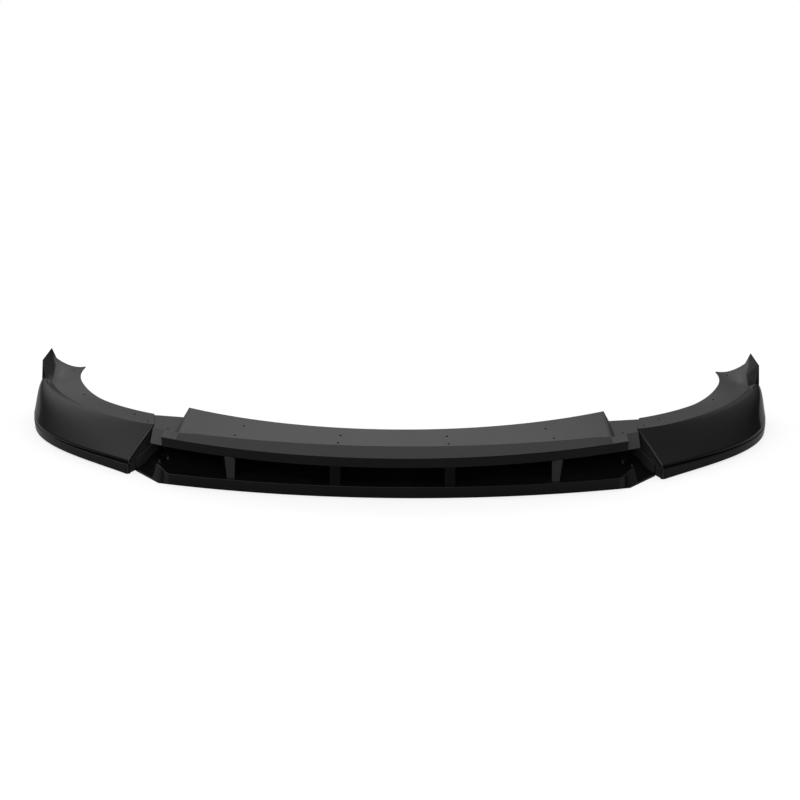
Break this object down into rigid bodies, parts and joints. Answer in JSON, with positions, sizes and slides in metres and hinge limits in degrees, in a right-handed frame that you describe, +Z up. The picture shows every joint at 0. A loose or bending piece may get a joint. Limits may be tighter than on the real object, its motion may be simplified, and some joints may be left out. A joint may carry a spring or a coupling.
{
  "type": "front splitter lip",
  "caption": "Low front splitter lip for a car: a centre section with a slotted opening and upright fins, and a curved corner section with a raised winglet at each side.",
  "frame": {"origin": "centre of the bounding box at the level of the lowest edges", "axes": "+X across the car towards the section on the right of the picture, -Y to the front of the car, +Z up"},
  "size_m": [1.81, 0.55, 0.148],
  "materials": {
    "gloss": "gloss black"
  },
  "bodies": {
    "root": {"centre_section": "gloss", "left_corner": "gloss", "right_corner": "gloss"}
  },
  "joints": []
}
